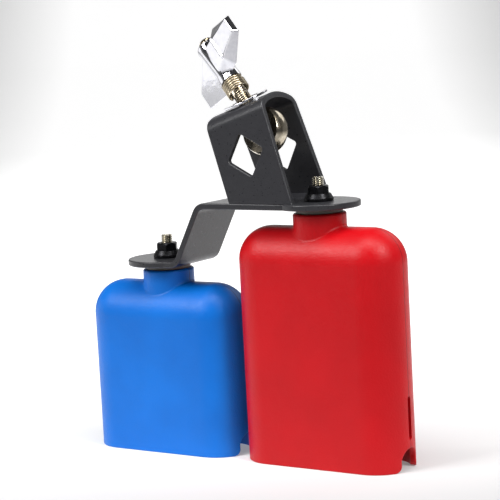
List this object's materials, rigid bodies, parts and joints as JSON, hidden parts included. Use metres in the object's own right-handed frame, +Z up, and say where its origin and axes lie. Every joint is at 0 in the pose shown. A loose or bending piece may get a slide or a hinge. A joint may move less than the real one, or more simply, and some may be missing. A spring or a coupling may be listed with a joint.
{
  "type": "percussion block pair",
  "caption": "Tall and short hollow plastic percussion blocks with slotted sides, hung by their necks from a bent black steel strap with a sprung eye-bolt rod clamp and wing nut.",
  "frame": {"origin": "centre of the bracket's windows, on its middle plane, where a clamped rod's axis lies", "axes": "+Z up as it stands on its blocks, +X along the strap from the small blue block to the large red one, +Y through the blocks' thickness and along a clamped rod"},
  "size_m": [0.185, 0.0421, 0.2228],
  "materials": {
    "red_plastic": "satin, lightly pebbled from the mould",
    "blue_plastic": "satin, lightly pebbled from the mould",
    "black_powder_coat": "satin powder coat with a fine orange peel",
    "bright_chrome": "polished chrome plate",
    "nickel_plate": "warm nickel plate",
    "zinc_plate": "bright zinc plate",
    "black_oxide": "black oxide with a trace of oil",
    "pale_nylon": "natural nylon"
  },
  "bodies": {
    "frame": {"mounting_strap": "black_powder_coat", "clamp_bridge": "black_powder_coat", "bridge_welds": "black_powder_coat", "clamp_washer": "bright_chrome"},
    "clamp_carrier": {"clamp_spring": "nickel_plate"},
    "eye_bolt": {"eye_bolt": "nickel_plate"},
    "wing_nut": {"wing_nut": "bright_chrome"},
    "red_block": {"red_front_shell": "red_plastic", "red_rear_shell": "red_plastic", "red_hanger_bolt": "zinc_plate", "red_inner_washer": "zinc_plate", "red_neck_spacer": "pale_nylon", "red_top_washer": "black_oxide", "red_flange_nut": "black_oxide"},
    "blue_block": {"blue_front_shell": "blue_plastic", "blue_rear_shell": "blue_plastic", "blue_hanger_bolt": "zinc_plate", "blue_inner_washer": "zinc_plate", "blue_neck_spacer": "pale_nylon", "blue_top_washer": "black_oxide", "blue_flange_nut": "black_oxide"}
  },
  "joints": [
    {"name": "bolt_swing", "type": "hinge", "parent": "frame", "child": "clamp_carrier", "pos_m": [-0.00768, 0, 0.02295], "axis": [0.4554, 0.8771, 0.1524], "range_deg": [0, 29]},
    {"name": "eye_lift", "type": "slide", "parent": "clamp_carrier", "child": "eye_bolt", "axis": [-0.6808, 0.2328, 0.6945], "range_m": [-0.0075, 0]},
    {"name": "wing_spin", "type": "hinge", "parent": "clamp_carrier", "child": "wing_nut", "pos_m": [-0.00768, 0, 0.02295], "axis": [-0.6808, 0.2328, 0.6945], "range_deg": [0, 2170]},
    {"name": "red_swivel", "type": "hinge", "parent": "frame", "child": "red_block", "pos_m": [0.0308, 0, -0.0254], "axis": [0, 0, 1], "continuous": true},
    {"name": "blue_swivel", "type": "hinge", "parent": "frame", "child": "blue_block", "pos_m": [-0.0632, 0, -0.0559], "axis": [0, 0, 1], "continuous": true}
  ],
  "couplings": [
    {"joint": "wing_spin", "follows": "eye_lift", "rad_per_m": -5026.5}
  ]
}
